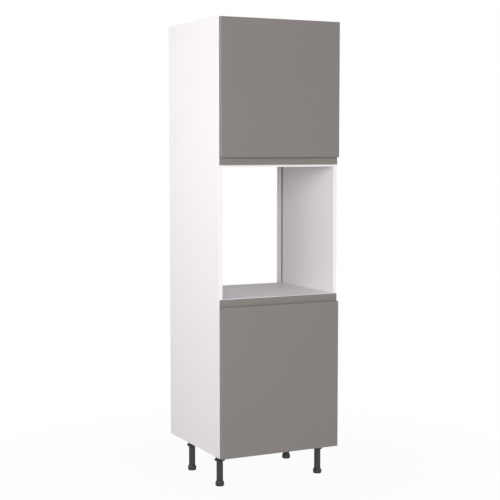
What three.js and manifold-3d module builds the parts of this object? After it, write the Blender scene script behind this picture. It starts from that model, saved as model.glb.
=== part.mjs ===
// Tall oven housing unit: a boxed carcass on adjustable legs with a cupboard above and below an open
// oven aperture. Each cupboard is closed by a slab door with a scooped finger pull, hung on two
// concealed cup hinges with crossed links. Millimetres, +Z up, front towards -Y, floor at z = 0.

import * as THREE from 'three';
import { mergeVertices } from 'three/addons/utils/BufferGeometryUtils.js';
import Module from 'manifold-3d';

const wasm = await Module();
wasm.setup();

// Driving dimensions: carcass.
const unitWidth = 600;
const unitHeight = 2110;
const legHeight = 150;
const carcassDepth = 560;
const board = 18;
const doorThickness = 22;
const doorGap = 2;            // between door back and carcass front edge
const doorSideGap = 2;        // door edge to unit side
const doorTopGap = 3;
const lowerDoorHeight = 715;
const upperDoorHeight = 645;
const ovenShelfProud = 2;     // oven shelf's top above the lower door
const ovenTopProud = 10;      // upper fixed shelf's underside below the upper door
const backThickness = 8;
const backGroove = 8.5;       // width of the groove that holds the back
const backGrooveDepth = 8;
const serviceVoid = 46;       // behind the groove centre
const railHeight = 100;
const looseShelfSetback = 20;
const looseShelfSideGap = 1.5;
const looseShelfShare = 0.5;  // loose shelf's height, of its cupboard's clear height
const edgeChamfer = 0.6;      // eased long edges of the boards
const fit = 0.3;              // clearance where one piece sits in another
const cutOver = 1;            // how far a cutter stands proud of what it cuts

// Driving dimensions: shelf pins.
const pinHoleRadius = 2.8;
const pinHoleDepth = 11;
const pinHolePitch = 32;
const pinHolesEachWay = 1;    // spare holes above and below the one in use
const pinRadius = 2.5;
const pinHeadRadius = 4;
const pinCollar = 1.2;
const pinTongue = 11;
const pinTongueWidth = 8;
const pinTongueThickness = 2.4;
const frontPinInset = 37;
const rearPinInset = 70;

// Driving dimensions: finger pull.
const pullBand = 33;          // height of the lip that stands above the face
const lipThickness = 5.5;
const skinThickness = 5;      // face left in front of the scoop
const scoopDepth = 12;        // below the edge of the face
const pullEase = 1.4;         // rounding of the lip and of the face's edge
const pullSteps = 8;          // facets of each rounding

// Driving dimensions: adjustable legs.
const legSideInset = 45;
const legFrontInset = 91.5;   // behind the carcass front edge
const legRearInset = 154.6;   // in front of the carcass rear edge
const tubeRadius = 15;
const tubeBore = 12.4;
const tubeTop = 138;
const tubeBottom = 26;
const tubeFlangeRadius = 24.5;
const tubeFlangeTop = 124;    // the socket's collar stands on it
const tubeFlange = 6;
const tubeFlangeFlare = 7;    // cone under the flange
const tubeSlit = 2.4;         // slits that let the tube's end grip the stem
const tubeSlitHeight = 20;
const socketPlateRadius = 31;
const socketPlate = 3.5;
const socketCollarRadius = 18.6;
const socketRib = 2.4;
const socketRibReach = 28;
const socketRibStart = 5;     // above the collar's lower end
const footRadius = 20.4;
const footBaseRadius = 18.6;
const footShoulderRadius = 15.4;
const footHeight = 25;
const footBevel = 3;
const footShoulder = 7;
const stemRadius = 9.4;
const stemTop = 98;
const stemCollarRadius = 11.6;
const stemCollar = 4;
const gripCount = 8;
const gripRadius = 4;
const gripDepth = 1.2;
const gripSides = 8;
const legSides = 18;

// Driving dimensions: concealed hinge.
// Plan coordinates: u across, 0 at the side panel's inner face; v in depth, 0 at the door's back.
const hingeEndInset = 100;    // cup centre from a plain door end
const hingePullInset = 115;   // cup centre from the end with the finger pull
const cupRadius = 17.5;
const cupDepth = 11.5;
const cupEdge = 5;            // cup to door edge
const cupFloor = 1;
const cupInnerRadius = 16.5;
const pocketLeft = 21.5;
const pocketRight = 9.5;
const pocketHalf = 7;
const flangeThickness = 1;
const flangeRadius = 19;
const flangeCut = 1.5;        // keeps the flange off the side panel's edge
const earReach = 24;
const earRadius = 6;
const earShift = 6;
const pivotA = [-34, 9];      // arm, outer link
const pivotB = [-19.2, -6.5]; // arm, inner link
const pivotC = [0.2, -3];     // cup, outer link
const pivotD = [-0.9, -6.5];  // cup, inner link
const innerLinkHalf = 3;
const armInnerHalf = 3.3;
const armOuterHalf = 4.8;
const outerLinkInnerHalf = 5.1;
const outerLinkOuterHalf = 6.6;
const pinA = 1.2;
const pinB = 1.2;
const pinC = 1;
const pinD = 0.9;
const openPivotPlay = 1.05;   // the inner link rides loosely on the cup's second pin
const eyeA = 2.8;
const eyeArm = 3.6;
const eyeB = 2.4;
const eyeC = 2.2;
const eyeD = 3;
const noseRadius = 1.9;
const outerLinkHalfWidth = 1.3;
const innerLinkHalfWidth = 1.1;
const innerLinkSag = 8.5;     // depth of the dog-leg below the door's back
const innerLinkBendNear = 7;
const innerLinkBendFar = 15;
const plateThickness = 2;
const plateFront = 24;
const plateRear = 64;
const plateHalf = 7;
const wingCentre = 39;
const wingReach = 16;
const wingRadius = 5.5;
const bossHalf = 3;
const bossRise = 7;
const bossInset = 4;
const armRear = 68;
const armRise = 14;           // arm's web above the panel
const armWeb = 1.2;
const armKneeNear = 16;
const armKneeFar = 30;
const armShoulder = 4;
const armThroat = 2;
const armEyeStartShare = 0.72; // arc of the arm's end eye, in half turns
const armEyeEndShare = 1.4;
const hingeSides = 10;
const arcSteps = 6;           // facets of each arc in an outline
const cupSides = 26;

// Driving dimensions: small parts.
const bumperRadius = 5;
const bumperThickness = 1.7;
const bumperInset = 30;
const bumperSides = 10;
const bracketWidth = 30;
const bracketLeg = 36;
const bracketThickness = 2;
const bracketDrop = 160;
const bracketSlot = 3;
const bracketSlotReach = 8;
const bracketSlotShare = 0.6; // slot's place along its leg
const bracketBend = 1;
const weldTolerance = 1e-4;

// Derived frame.
const unitDepth = doorThickness + doorGap + carcassDepth;
const doorFront = -unitDepth / 2;
const doorBack = doorFront + doorThickness;
const carcassFront = doorBack + doorGap;
const carcassRear = unitDepth / 2;
const halfWidth = unitWidth / 2;
const innerX = halfWidth - board;
const grooveCentre = carcassRear - serviceVoid - backThickness;
const backFront = grooveCentre - backThickness / 2;
const baseTop = legHeight + board;
const topBottom = unitHeight - board;
const lowerDoorBottom = legHeight;
const lowerDoorTop = lowerDoorBottom + lowerDoorHeight;
const upperDoorTop = unitHeight - doorTopGap;
const upperDoorBottom = upperDoorTop - upperDoorHeight;
const ovenShelfTop = lowerDoorTop + ovenShelfProud;
const ovenShelfBottom = ovenShelfTop - board;
const ovenTopBottom = upperDoorBottom - ovenTopProud;
const ovenTopTop = ovenTopBottom + board;
const doorHalfWidth = halfWidth - doorSideGap;
const cupU = board - doorSideGap - cupEdge - cupRadius;
const frontPinY = carcassFront + frontPinInset;
const rearPinY = backFront - rearPinInset;

// Finishes.
const finish = (color, roughness, metalness = 0) => ({ color, roughness, metalness });
const whiteBoard = finish(0xf1f0ee, 0.38);
const doorTaupe = finish(0x8a827d, 0.55);
const darkPlastic = finish(0x3b383a, 0.5);
const nickel = finish(0xb9bbbd, 0.3, 1);
const zinc = finish(0xa9adb0, 0.42, 1);
const clearRubber = finish(0xd9dadb, 0.6);

// Solid helpers.

/** Turns a geometry into a solid that can be cut and joined. */
function solid(geometry) {
  const bare = new THREE.BufferGeometry();
  bare.setAttribute('position', geometry.getAttribute('position').clone());
  if (geometry.index) bare.setIndex(geometry.index.clone());
  const merged = mergeVertices(bare, weldTolerance);
  const index = merged.index.array;
  const faces = [];
  for (let i = 0; i < index.length; i += 3) {
    const [a, b, c] = [index[i], index[i + 1], index[i + 2]];
    if (a !== b && b !== c && c !== a) faces.push(a, b, c);
  }
  return new wasm.Manifold(new wasm.Mesh({
    numProp: 3,
    vertProperties: new Float32Array(merged.getAttribute('position').array),
    triVerts: new Uint32Array(faces),
  }));
}

/** Makes the flat-shaded geometry of a finished solid. */
function toGeometry(body) {
  const mesh = body.getMesh();
  const geometry = new THREE.BufferGeometry();
  geometry.setAttribute('position', new THREE.BufferAttribute(new Float32Array(mesh.vertProperties), 3));
  geometry.setIndex(new THREE.BufferAttribute(new Uint32Array(mesh.triVerts), 1));
  const flat = geometry.toNonIndexed();
  flat.computeVertexNormals();
  return flat;
}

const unit = new THREE.Group();
unit.name = 'tall_oven_housing_unit';

/** Adds one named piece to the unit. */
function piece(name, body, look) {
  const mesh = new THREE.Mesh(toGeometry(body), new THREE.MeshStandardMaterial(look));
  mesh.name = name;
  unit.add(mesh);
}

/** Block between two corners, given as ranges. */
function block([x0, x1], [y0, y1], [z0, z1]) {
  const box = new THREE.BoxGeometry(x1 - x0, y1 - y0, z1 - z0);
  return solid(box.translate((x0 + x1) / 2, (y0 + y1) / 2, (z0 + z1) / 2));
}

/** Outline in plan (x, y) raised between two heights. */
function raised(shape, z0, z1, curveSegments = arcSteps) {
  const geometry = new THREE.ExtrudeGeometry(shape, { depth: z1 - z0, bevelEnabled: false, curveSegments });
  return solid(geometry.translate(0, 0, z0));
}

/** Side profile (y, z) drawn out along x. */
function drawnAcross(shape, x0, x1, curveSegments = arcSteps) {
  const geometry = new THREE.ExtrudeGeometry(shape, { depth: x1 - x0, bevelEnabled: false, curveSegments });
  const turn = new THREE.Matrix4().makeBasis(
    new THREE.Vector3(0, 1, 0), new THREE.Vector3(0, 0, 1), new THREE.Vector3(1, 0, 0));
  return solid(geometry.applyMatrix4(turn).translate(x0, 0, 0));
}

/** Front outline (x, z) given thickness along y. */
function drawnBack(shape, y0, y1, curveSegments = arcSteps) {
  const geometry = new THREE.ExtrudeGeometry(shape, { depth: y1 - y0, bevelEnabled: false, curveSegments });
  const turn = new THREE.Matrix4().makeBasis(
    new THREE.Vector3(1, 0, 0), new THREE.Vector3(0, 0, 1), new THREE.Vector3(0, -1, 0));
  return solid(geometry.applyMatrix4(turn).translate(0, y1, 0));
}

/** Upright rod. */
function rodZ(radius, [x, y], z0, z1, sides = hingeSides) {
  const rod = new THREE.CylinderGeometry(radius, radius, z1 - z0, sides);
  return solid(rod.rotateX(Math.PI / 2).translate(x, y, (z0 + z1) / 2));
}

/** Rod along the depth of the unit. */
function rodY(radius, [x, z], y0, y1, sides = hingeSides) {
  const rod = new THREE.CylinderGeometry(radius, radius, y1 - y0, sides);
  return solid(rod.translate(x, (y0 + y1) / 2, z));
}

/** Rod across the unit. */
function rodX(radius, [y, z], x0, x1, sides = hingeSides) {
  const rod = new THREE.CylinderGeometry(radius, radius, x1 - x0, sides);
  return solid(rod.rotateZ(Math.PI / 2).translate((x0 + x1) / 2, y, z));
}

/** Solid of revolution about an upright axis, from [radius, height] pairs. */
function turned(profile, [x, y], sides = legSides) {
  const points = profile.map(([radius, height]) => new THREE.Vector2(radius, height));
  return solid(new THREE.LatheGeometry(points, sides).rotateX(Math.PI / 2).translate(x, y, 0));
}

/** Closed outline through a list of points. */
const outline = (points) => new THREE.Shape(points.map(([a, b]) => new THREE.Vector2(a, b)));

const joined = (first, ...rest) => rest.reduce((body, next) => body.add(next), first);
const cutBy = (body, ...tools) => tools.reduce((rest, tool) => rest.subtract(tool), body);

/** Straight bar in plan from one point to another. */
function bar([x0, y0], [x1, y1], half, z0, z1) {
  const length = Math.hypot(x1 - x0, y1 - y0);
  const [nx, ny] = [-(y1 - y0) / length * half, (x1 - x0) / length * half];
  return raised(outline([[x0 - nx, y0 - ny], [x1 - nx, y1 - ny], [x1 + nx, y1 + ny], [x0 + nx, y0 + ny]]), z0, z1);
}

// Boards.

/** Horizontal board between the side panels with eased front edges. */
function fixedBoard(z0) {
  const z1 = z0 + board;
  return drawnAcross(outline([
    [carcassFront + edgeChamfer, z0], [backFront, z0], [backFront, z1], [carcassFront + edgeChamfer, z1],
    [carcassFront, z1 - edgeChamfer], [carcassFront, z0 + edgeChamfer],
  ]), -innerX, innerX);
}

const looseShelfZ = (floorZ, roofZ) => floorZ + (roofZ - floorZ) * looseShelfShare;
const looseShelves = {
  lower: looseShelfZ(baseTop, ovenShelfBottom),
  upper: looseShelfZ(ovenTopTop, topBottom),
};
const pinDrop = pinTongueThickness / 2; // the tongue's top carries the shelf

/** Side panel with its back groove and the pin holes on the inner face; side is -1 or 1. */
function sidePanel(side) {
  const ease = edgeChamfer;
  const across = (u) => side * u;
  let panel = raised(outline([
    [across(innerX), carcassFront + ease], [across(innerX + ease), carcassFront],
    [across(halfWidth - ease), carcassFront], [across(halfWidth), carcassFront + ease],
    [across(halfWidth), carcassRear], [across(innerX), carcassRear],
  ]), legHeight, unitHeight);
  const groove = [across(innerX - cutOver), across(innerX + backGrooveDepth)].sort((a, b) => a - b);
  panel = panel.subtract(block(groove, [grooveCentre - backGroove / 2, grooveCentre + backGroove / 2],
    [legHeight - cutOver, unitHeight + cutOver]));
  const reach = [across(innerX - cutOver), across(innerX + pinHoleDepth)].sort((a, b) => a - b);
  for (const shelfZ of Object.values(looseShelves)) {
    for (const y of [frontPinY, rearPinY]) {
      for (let step = -pinHolesEachWay; step <= pinHolesEachWay; step += 1) {
        const z = shelfZ - pinDrop + step * pinHolePitch;
        panel = panel.subtract(rodX(pinHoleRadius, [y, z], ...reach, hingeSides));
      }
    }
  }
  return panel;
}

piece('left_side_panel', sidePanel(-1), whiteBoard);
piece('right_side_panel', sidePanel(1), whiteBoard);
piece('base_panel', fixedBoard(legHeight), whiteBoard);
piece('oven_shelf', fixedBoard(ovenShelfBottom), whiteBoard);
piece('oven_top_panel', fixedBoard(ovenTopBottom), whiteBoard);
piece('top_panel', fixedBoard(topBottom), whiteBoard);

const backHalf = innerX + backGrooveDepth - fit;
for (const [name, z0, z1] of [
  ['lower_back_panel', legHeight, ovenShelfTop],
  ['upper_back_panel', ovenTopBottom, unitHeight],
]) {
  piece(name, block([-backHalf, backHalf], [backFront, backFront + backThickness], [z0, z1]), whiteBoard);
}
piece('wall_fixing_rail', block([-innerX, innerX], [carcassRear - board, carcassRear],
  [unitHeight - railHeight, unitHeight]), whiteBoard);

const looseHalf = innerX - looseShelfSideGap;
for (const [place, z0] of Object.entries(looseShelves)) {
  const z1 = z0 + board;
  const front = carcassFront + looseShelfSetback;
  const rear = backFront - looseShelfSideGap;
  piece(`${place}_loose_shelf`, drawnAcross(outline([
    [front + edgeChamfer, z0], [rear, z0], [rear, z1], [front + edgeChamfer, z1],
    [front, z1 - edgeChamfer], [front, z0 + edgeChamfer],
  ]), -looseHalf, looseHalf), whiteBoard);
}

/** Shelf pin: a peg in the panel, a collar against its face and a flat tongue under the shelf. */
function shelfPin(side, y, shelfZ) {
  const face = side * innerX;
  const z = shelfZ - pinDrop;
  const range = (a, b) => [face + side * a, face + side * b].sort((p, q) => p - q);
  const peg = rodX(pinRadius, [y, z], ...range(-pinCollar, pinHoleDepth - fit));
  const tongue = block(range(-pinTongue, 0), [y - pinTongueWidth / 2, y + pinTongueWidth / 2],
    [shelfZ - pinTongueThickness, shelfZ]);
  const collar = rodX(pinHeadRadius, [y, z - pinHeadRadius + pinDrop], ...range(-pinCollar, 0));
  const web = block(range(-pinTongue / 2, 0), [y - pinTongueThickness / 2, y + pinTongueThickness / 2],
    [shelfZ - pinHeadRadius, shelfZ - pinTongueThickness / 2]);
  return joined(peg, collar, tongue, web);
}

for (const [place, shelfZ] of Object.entries(looseShelves)) {
  for (const [end, y] of [['front', frontPinY], ['rear', rearPinY]]) {
    for (const [hand, side] of [['left', -1], ['right', 1]]) {
      piece(`${place}_shelf_pin_${end}_${hand}`, shelfPin(side, y, shelfZ), nickel);
    }
  }
}

/** Angle bracket that ties a side panel to the wall, folded from strip. */
function wallBracket(side) {
  const z0 = unitHeight - bracketDrop - bracketWidth;
  const z1 = z0 + bracketWidth;
  const across = (u) => side * (innerX - u);
  const fold = raised(outline([
    [across(0), carcassRear - bracketLeg], [across(0), carcassRear - bracketBend],
    [across(bracketBend), carcassRear], [across(bracketLeg), carcassRear],
    [across(bracketLeg), carcassRear - bracketThickness],
    [across(bracketThickness + bracketBend), carcassRear - bracketThickness],
    [across(bracketThickness), carcassRear - bracketThickness - bracketBend],
    [across(bracketThickness), carcassRear - bracketLeg],
  ]), z0, z1);
  const slot = new THREE.Shape();
  const middle = across(bracketLeg * bracketSlotShare);
  const centreZ = (z0 + z1) / 2;
  slot.absarc(middle + bracketSlotReach / 2, centreZ, bracketSlot, -Math.PI / 2, Math.PI / 2, false);
  slot.absarc(middle - bracketSlotReach / 2, centreZ, bracketSlot, Math.PI / 2, Math.PI * 1.5, false);
  return fold.subtract(drawnBack(slot, carcassRear - bracketThickness - cutOver, carcassRear + cutOver));
}

piece('wall_bracket_left', wallBracket(-1), zinc);
piece('wall_bracket_right', wallBracket(1), zinc);

// Adjustable legs.

/** Fixing plate with a ribbed collar that takes the tube. */
function legSocket(at) {
  const plateBottom = legHeight - socketPlate;
  const body = turned([
    [0, legHeight], [0, tubeTop + fit], [tubeRadius + fit, tubeTop + fit], [tubeRadius + fit, tubeFlangeTop],
    [socketCollarRadius, tubeFlangeTop], [socketCollarRadius, plateBottom], [socketPlateRadius, plateBottom],
    [socketPlateRadius, legHeight], [0, legHeight],
  ], at);
  const rib = outline([
    [socketCollarRadius - fit, tubeFlangeTop + socketRibStart], [socketRibReach, plateBottom + fit],
    [socketCollarRadius - fit, plateBottom + fit],
  ]);
  const ribs = [0, 1, 2, 3].map((quarter) => {
    const web = new THREE.ExtrudeGeometry(rib, { depth: socketRib, bevelEnabled: false });
    return solid(web.translate(0, 0, -socketRib / 2).rotateX(Math.PI / 2)
      .rotateZ((quarter + 0.5) * Math.PI / 2).translate(at[0], at[1], 0));
  });
  return joined(body, ...ribs);
}

/** Tube with a flange under its closed top and crossed slits in its open foot end. */
function legTube([x, y]) {
  const flangeBottom = tubeFlangeTop - tubeFlange;
  const tube = turned([
    [tubeBore, tubeBottom], [tubeRadius, tubeBottom], [tubeRadius, flangeBottom - tubeFlangeFlare],
    [tubeFlangeRadius, flangeBottom], [tubeFlangeRadius, tubeFlangeTop], [tubeRadius, tubeFlangeTop],
    [tubeRadius, tubeTop], [0, tubeTop], [0, flangeBottom], [tubeBore, flangeBottom], [tubeBore, tubeBottom],
  ], [x, y]);
  const reach = tubeRadius + cutOver;
  const slitZ = [tubeBottom - cutOver, tubeBottom + tubeSlitHeight];
  return cutBy(tube,
    block([x - reach, x + reach], [y - tubeSlit / 2, y + tubeSlit / 2], slitZ),
    block([x - tubeSlit / 2, x + tubeSlit / 2], [y - reach, y + reach], slitZ));
}

/** Screw foot: a broad pad with finger grips under a stem that runs up inside the tube. */
function legFoot(at) {
  const shoulderTop = tubeBottom - fit;
  let foot = turned([
    [0, 0], [footBaseRadius, 0], [footRadius, footBevel], [footRadius, footHeight - footShoulder],
    [footShoulderRadius, footHeight], [footShoulderRadius, shoulderTop], [stemRadius, shoulderTop],
    [stemRadius, stemTop - stemCollar], [stemCollarRadius, stemTop - stemCollar],
    [stemCollarRadius, stemTop], [0, stemTop],
  ], at);
  for (let i = 0; i < gripCount; i += 1) {
    const angle = (i + 0.5) * 2 * Math.PI / gripCount;
    const reach = footRadius + gripRadius - gripDepth;
    const centre = [at[0] + reach * Math.cos(angle), at[1] + reach * Math.sin(angle)];
    foot = foot.subtract(rodZ(gripRadius, centre, footBevel, footHeight + cutOver, gripSides));
  }
  return foot;
}

for (const [end, y] of [['front', carcassFront + legFrontInset], ['rear', carcassRear - legRearInset]]) {
  for (const [hand, side] of [['left', -1], ['right', 1]]) {
    const at = [side * (halfWidth - legSideInset), y];
    piece(`leg_socket_${end}_${hand}`, legSocket(at), darkPlastic);
    piece(`leg_tube_${end}_${hand}`, legTube(at), darkPlastic);
    piece(`leg_foot_${end}_${hand}`, legFoot(at), darkPlastic);
  }
}

// Doors.

/** Side profile of a door in (y, distance from the plain end); the finger pull is at the far end. */
function doorProfile(height) {
  const lipFront = doorBack - lipThickness;
  const skinBack = doorFront + skinThickness;
  const scoopRadius = (lipFront - skinBack) / 2;
  const faceEnd = height - pullBand;
  const scoopCentre = faceEnd - scoopDepth + scoopRadius;
  const shape = new THREE.Shape();
  shape.moveTo(doorFront + edgeChamfer, 0);
  shape.lineTo(doorBack - edgeChamfer, 0);
  shape.lineTo(doorBack, edgeChamfer);
  shape.lineTo(doorBack, height - pullEase);
  shape.absarc(doorBack - pullEase, height - pullEase, pullEase, 0, Math.PI / 2, false);
  shape.absarc(lipFront + pullEase, height - pullEase, pullEase, Math.PI / 2, Math.PI, false);
  shape.absarc((lipFront + skinBack) / 2, scoopCentre, scoopRadius, 0, -Math.PI, true);
  shape.absarc(skinBack - pullEase, faceEnd - pullEase, pullEase, 0, Math.PI / 2, false);
  shape.absarc(doorFront + pullEase, faceEnd - pullEase, pullEase, Math.PI / 2, Math.PI, false);
  shape.lineTo(doorFront, edgeChamfer);
  return shape;
}

/** Slab door bored for its hinge cups. */
function door(bottom, height, pullUp, cupHeights) {
  let slab = drawnAcross(doorProfile(height), -doorHalfWidth, doorHalfWidth, pullSteps);
  slab = pullUp ? slab.translate([0, 0, bottom]) : slab.mirror([0, 0, 1]).translate([0, 0, bottom + height]);
  for (const z of cupHeights) {
    slab = slab.subtract(rodY(cupRadius + fit, [innerX + cupU, z], doorBack - cupDepth - fit,
      doorBack + cutOver, cupSides));
  }
  return slab;
}

const doors = [
  { place: 'lower', bottom: lowerDoorBottom, height: lowerDoorHeight, pullUp: true,
    cups: { bottom: lowerDoorBottom + hingeEndInset, top: lowerDoorTop - hingePullInset } },
  { place: 'upper', bottom: upperDoorBottom, height: upperDoorHeight, pullUp: false,
    cups: { bottom: upperDoorBottom + hingePullInset, top: upperDoorTop - hingeEndInset } },
];

// Concealed hinge.

/** Plan point of the hinge in the unit's frame. */
const plan = ([u, v]) => [innerX + u, doorBack + v];

/** Bored cup with its screw ears, link pocket and the two pins that carry the links. */
function hingeCup(z) {
  const [x] = plan([cupU, 0]);
  const shape = new THREE.Shape();
  const earX = x - earShift;
  shape.absarc(earX, z + earReach, earRadius, 0, Math.PI, false);
  shape.absarc(earX, z - earReach, earRadius, Math.PI, 2 * Math.PI, false);
  const limit = block([x - flangeRadius - cutOver, innerX - flangeCut], [doorBack, doorBack + flangeThickness],
    [z - earReach - earRadius - cutOver, z + earReach + earRadius + cutOver]);
  const flange = rodY(flangeRadius, [x, z], doorBack, doorBack + flangeThickness, cupSides)
    .add(drawnBack(shape, doorBack, doorBack + flangeThickness)).intersect(limit);
  const pot = rodY(cupRadius, [x, z], doorBack - cupDepth, doorBack, cupSides);
  const pocket = block([innerX - pocketLeft - cutOver, innerX + pocketRight],
    [doorBack - cupDepth + cupFloor, doorBack + flangeThickness + cutOver], [z - pocketHalf, z + pocketHalf])
    .intersect(rodY(cupInnerRadius, [x, z], doorBack - cupDepth, doorBack + flangeThickness + 2 * cutOver, cupSides));
  let cup = pot.add(flange).subtract(pocket);
  for (const side of [-1, 1]) {
    const stub = [outerLinkInnerHalf, pocketHalf + cupFloor].map((h) => z + side * h).sort((a, b) => a - b);
    cup = cup.add(rodZ(pinC, plan(pivotC), ...stub));
  }
  return cup.add(rodZ(pinD, plan(pivotD), z - pocketHalf - cupFloor, z + pocketHalf + cupFloor));
}

/** Outer link: two cheeks on a shared pin at the arm, each with an eye on the cup's first pin. */
function outerLink(z) {
  const [a, c] = [plan(pivotA), plan(pivotC)];
  const cheeks = [-1, 1].map((side) => {
    const span = [outerLinkInnerHalf, outerLinkOuterHalf].map((h) => z + side * h).sort((p, q) => p - q);
    return cutBy(joined(rodZ(eyeA, a, ...span), bar(a, c, outerLinkHalfWidth, ...span), rodZ(eyeC, c, ...span)),
      rodZ(pinC + fit, c, span[0] - cutOver, span[1] + cutOver));
  });
  return joined(cheeks[0], cheeks[1], rodZ(pinA, a, z - outerLinkOuterHalf, z + outerLinkOuterHalf));
}

/** Inner link: a single dog-leg bar with an eye at the arm and a loose eye at the cup. */
function innerLink(z) {
  const [b, d] = [plan(pivotB), plan(pivotD)];
  const span = [z - innerLinkHalf, z + innerLinkHalf];
  const near = plan([-innerLinkBendNear, -innerLinkSag]);
  const far = plan([-innerLinkBendFar, -innerLinkSag]);
  const half = innerLinkHalfWidth;
  const body = joined(rodZ(eyeB, b, ...span), bar(b, far, half, ...span), rodZ(half, far, ...span),
    bar(far, near, half, ...span), rodZ(half, near, ...span), bar(near, d, half, ...span), rodZ(eyeD, d, ...span));
  const over = [span[0] - cutOver, span[1] + cutOver];
  return cutBy(body, rodZ(pinB + fit, b, ...over), rodZ(pinD + openPivotPlay, d, ...over));
}

/** Hinge arm: a channel over the plate whose cheeks reach out to the two link pins. */
function hingeArm(z) {
  const [ax, ay] = pivotA;
  const [bx, by] = pivotB;
  const cheek = new THREE.Shape();
  cheek.absarc(bx, by, noseRadius, Math.PI, 2 * Math.PI, false);
  cheek.lineTo(bx + noseRadius, armShoulder);
  cheek.lineTo(-armShoulder, armKneeNear);
  cheek.lineTo(-plateThickness, plateFront);
  cheek.lineTo(-plateThickness, armRear);
  cheek.lineTo(-armRise, armRear);
  cheek.lineTo(-armRise, armKneeFar);
  cheek.absarc(ax, ay, eyeArm, Math.PI * armEyeStartShare, Math.PI * armEyeEndShare, false);
  cheek.lineTo(bx - noseRadius, armThroat);
  const cheeks = [-1, 1].map((side) => {
    const span = [armInnerHalf, armOuterHalf].map((h) => z + side * h).sort((p, q) => p - q);
    return raised(cheek, ...span).translate([innerX, doorBack, 0]);
  });
  const web = block([innerX - armRise, innerX - armRise + armWeb], [doorBack + armKneeFar, doorBack + armRear],
    [z - armOuterHalf, z + armOuterHalf]);
  const over = [z - armOuterHalf - cutOver, z + armOuterHalf + cutOver];
  return joined(cheeks[0], cheeks[1], web).subtract(rodZ(pinA + fit, plan(pivotA), ...over))
    .add(rodZ(pinB, plan(pivotB), z - armOuterHalf, z + armOuterHalf));
}

/** Cross-shaped mounting plate on the side panel with the boss that the arm clips over. */
function hingePlate(z) {
  const strip = block([innerX - plateThickness, innerX], [doorBack + plateFront, doorBack + plateRear],
    [z - plateHalf, z + plateHalf]);
  const wing = new THREE.Shape();
  const centre = doorBack + wingCentre;
  wing.absarc(centre, z + wingReach, wingRadius, 0, Math.PI, false);
  wing.absarc(centre, z - wingReach, wingRadius, Math.PI, 2 * Math.PI, false);
  const boss = block([innerX - plateThickness - bossRise, innerX - plateThickness],
    [doorBack + plateFront + bossInset, doorBack + plateRear - bossInset], [z - bossHalf, z + bossHalf]);
  return joined(strip, drawnAcross(wing, innerX - plateThickness, innerX), boss);
}

for (const { place, bottom, height, pullUp, cups } of doors) {
  for (const [level, z] of Object.entries(cups)) {
    piece(`${place}_hinge_plate_${level}`, hingePlate(z), nickel);
    piece(`${place}_hinge_arm_${level}`, hingeArm(z), nickel);
    piece(`${place}_hinge_outer_link_${level}`, outerLink(z), nickel);
    piece(`${place}_hinge_inner_link_${level}`, innerLink(z), nickel);
    piece(`${place}_hinge_cup_${level}`, hingeCup(z), nickel);
  }
  piece(`${place}_door`, door(bottom, height, pullUp, Object.values(cups)), doorTaupe);
  for (const [level, z] of [['bottom', bottom + bumperInset], ['top', bottom + height - bumperInset]]) {
    const x = -(innerX + board / 2);
    piece(`${place}_door_bumper_${level}`,
      rodY(bumperRadius, [x, z], doorBack, doorBack + bumperThickness, bumperSides), clearRubber);
  }
}

export default unit;
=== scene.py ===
"""Looks of a tall oven housing unit.

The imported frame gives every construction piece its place. This script replaces the boards and the wall
brackets by copies with eased edges, and the doors, buffers, legs, hinges and shelf pins by finely shaped
pieces. It adds screw heads and push-in caps, and gives each piece its finish.
Everything is in metres, +Z up, with the front towards -Y and the floor at z = 0.
"""

import logging
import math
from collections.abc import Iterable, Mapping, Sequence
from dataclasses import dataclass
from enum import Enum
from functools import cached_property
from itertools import product

import bpy
from mathutils import Matrix, Vector


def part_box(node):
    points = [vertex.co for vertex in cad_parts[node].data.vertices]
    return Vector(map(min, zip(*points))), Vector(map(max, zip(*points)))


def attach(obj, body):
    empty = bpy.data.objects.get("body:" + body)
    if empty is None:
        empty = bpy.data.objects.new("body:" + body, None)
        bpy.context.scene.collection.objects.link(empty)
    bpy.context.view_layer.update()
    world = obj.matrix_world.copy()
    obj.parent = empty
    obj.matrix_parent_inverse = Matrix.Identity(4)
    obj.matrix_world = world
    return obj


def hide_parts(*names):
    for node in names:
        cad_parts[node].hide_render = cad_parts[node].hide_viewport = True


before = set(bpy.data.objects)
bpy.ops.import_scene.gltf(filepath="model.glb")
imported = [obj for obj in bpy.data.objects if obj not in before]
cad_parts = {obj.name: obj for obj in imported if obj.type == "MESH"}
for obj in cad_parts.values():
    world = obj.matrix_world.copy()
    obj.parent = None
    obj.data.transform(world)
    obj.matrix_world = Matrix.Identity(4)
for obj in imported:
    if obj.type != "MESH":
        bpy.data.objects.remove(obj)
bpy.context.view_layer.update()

LOG = logging.getLogger("oven_housing")
MM = 0.001
ORIGIN = (0.0, 0.0, 0.0)
WHITE = (1.0, 1.0, 1.0, 1.0)
# Sockets of a Mix node: its factor and two colours, and the mixed colour.
MIX_INPUTS, MIX_RESULT = (0, 6, 7), 2
# Facets round pins, small holes and screw heads.
PIN_SIDES = 24
Colour = tuple[float, float, float]
Point = tuple[float, float, float]
Plan = tuple[float, float]


class Axis(Enum):
    """Direction that a piece is turned or drawn along."""

    X = 0
    Y = 1
    Z = 2

    def step(self, length: float) -> Vector:
        """A step of this length along the axis."""
        return Vector([length if index == self.value else 0.0 for index in range(3)])


class Carving(Enum):
    """What a carving keeps of a piece and its tool."""

    CUT = "DIFFERENCE"
    JOIN = "UNION"
    SHARED = "INTERSECT"


class Slot(Enum):
    """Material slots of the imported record."""

    BOARD = "white_board"
    DOOR = "door_face"
    LEG = "leg_plastic"
    NICKEL = "nickel"
    ZINC = "zinc"
    BUMPER = "bumper"


class Place(Enum):
    """The two cupboards."""

    LOWER = "lower"
    UPPER = "upper"


class Level(Enum):
    """The two hinges of a door."""

    BOTTOM = "bottom"
    TOP = "top"


class Glow(Enum):
    """Kinds of lamp."""

    SOFTBOX = "AREA"
    DISTANT = "SUN"


# Shader writing.


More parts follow.
